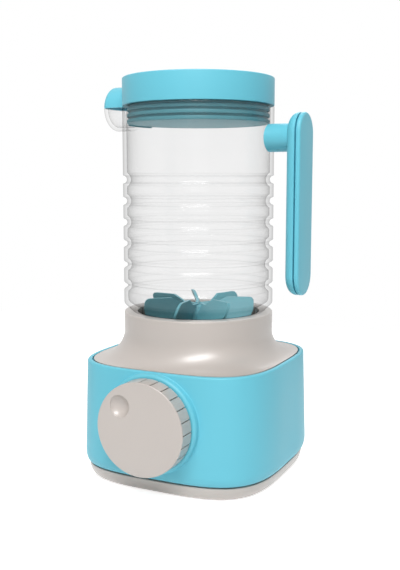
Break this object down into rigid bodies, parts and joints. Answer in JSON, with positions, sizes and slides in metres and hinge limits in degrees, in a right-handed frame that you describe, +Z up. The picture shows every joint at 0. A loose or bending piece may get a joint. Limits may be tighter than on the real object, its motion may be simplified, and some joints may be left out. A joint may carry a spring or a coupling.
{
  "type": "toy blender",
  "caption": "Toy kitchen blender: rounded square battery base with a front dial, ribbed clear jar with paddle blades, side handle and lid with a spout.",
  "frame": {"origin": "centre of the underside, on the jar's vertical axis, at the surface that the toy stands on", "axes": "+Z up along the jar's axis, -Y towards the front with the dial, +X towards the handle, spout towards -X"},
  "size_m": [0.1373, 0.1434, 0.2505],
  "materials": {
    "blue_plastic": "satin turquoise moulding",
    "teal_plastic": "soft turquoise moulding, seen through the jar",
    "grey_plastic": "satin warm grey moulding",
    "clear_plastic": "clear polished moulding",
    "white_plastic": "natural white acetal",
    "dark_rubber": "matt pad",
    "red_sleeve": "plain flexible sleeve",
    "steel": "zinc plated",
    "brass": "plain",
    "battery_sleeve": "plain dark sleeve"
  },
  "bodies": {
    "base": {"base_shell": "blue_plastic", "base_cover": "grey_plastic", "base_tray": "grey_plastic", "foot_1": "dark_rubber", "foot_2": "dark_rubber", "foot_3": "dark_rubber", "foot_4": "dark_rubber", "case_screw_1": "steel", "case_screw_2": "steel", "case_screw_3": "steel", "case_screw_4": "steel", "battery_1": "battery_sleeve", "battery_2": "battery_sleeve", "battery_3": "battery_sleeve", "battery_contact_plus": "brass", "battery_contact_minus": "brass", "switch_housing": "white_plastic", "switch_screw_1": "steel", "switch_screw_2": "steel", "gear_frame_lower": "white_plastic", "gear_frame_upper": "white_plastic", "frame_screw_1": "steel", "frame_screw_2": "steel", "frame_screw_3": "steel", "frame_screw_4": "steel", "drive_bush_lower": "brass", "drive_bush_upper": "brass", "motor": "steel", "lead_battery_switch": "red_sleeve", "lead_switch_motor": "red_sleeve", "lead_motor_battery": "dark_rubber"},
    "door": {"battery_door": "grey_plastic", "battery_door_screw": "steel"},
    "dial": {"dial": "grey_plastic", "dial_spindle": "white_plastic", "switch_wiper": "brass", "dial_screw": "steel"},
    "drive": {"drive_gear": "white_plastic", "drive_shaft": "steel", "drive_coupling": "white_plastic"},
    "motor_rotor": {"motor_pinion": "brass", "motor_shaft": "steel"},
    "jar": {"jar": "clear_plastic", "blade_bush": "white_plastic", "handle_stud": "clear_plastic", "handle_inner": "blue_plastic", "handle_outer": "blue_plastic", "handle_screw": "steel"},
    "blades": {"blade_rotor": "teal_plastic", "blade_spindle": "steel", "blade_coupling": "white_plastic"},
    "lid": {"lid_cap": "blue_plastic", "lid_plug": "teal_plastic", "lid_seal": "teal_plastic"}
  },
  "joints": [
    {"name": "battery_door_slide", "type": "slide", "parent": "base", "child": "door", "axis": [0, 0, -1], "range_m": [0, 0.03]},
    {"name": "dial_turn", "type": "hinge", "parent": "base", "child": "dial", "pos_m": [0, -0.06714, 0.0443], "axis": [0, 1, 0], "range_deg": [0, 90]},
    {"name": "drive_spin", "type": "hinge", "parent": "base", "child": "drive", "pos_m": [0, 0, 0.0521], "axis": [0, 0, 1], "continuous": true},
    {"name": "motor_spin", "type": "hinge", "parent": "base", "child": "motor_rotor", "pos_m": [0.028, 0, 0.0521], "axis": [0, 0, 1], "continuous": true},
    {"name": "jar_lift", "type": "slide", "parent": "base", "child": "jar", "axis": [0, 0, 1], "range_m": [0, 0.06]},
    {"name": "blade_spin", "type": "hinge", "parent": "jar", "child": "blades", "pos_m": [0, 0, 0.0924], "axis": [0, 0, 1], "continuous": true},
    {"name": "lid_lift", "type": "slide", "parent": "jar", "child": "lid", "axis": [0, 0, 1], "range_m": [0, 0.04]}
  ],
  "couplings": [
    {"joint": "motor_spin", "follows": "drive_spin", "ratio": -2.5},
    {"joint": "blade_spin", "follows": "drive_spin", "ratio": 1}
  ]
}
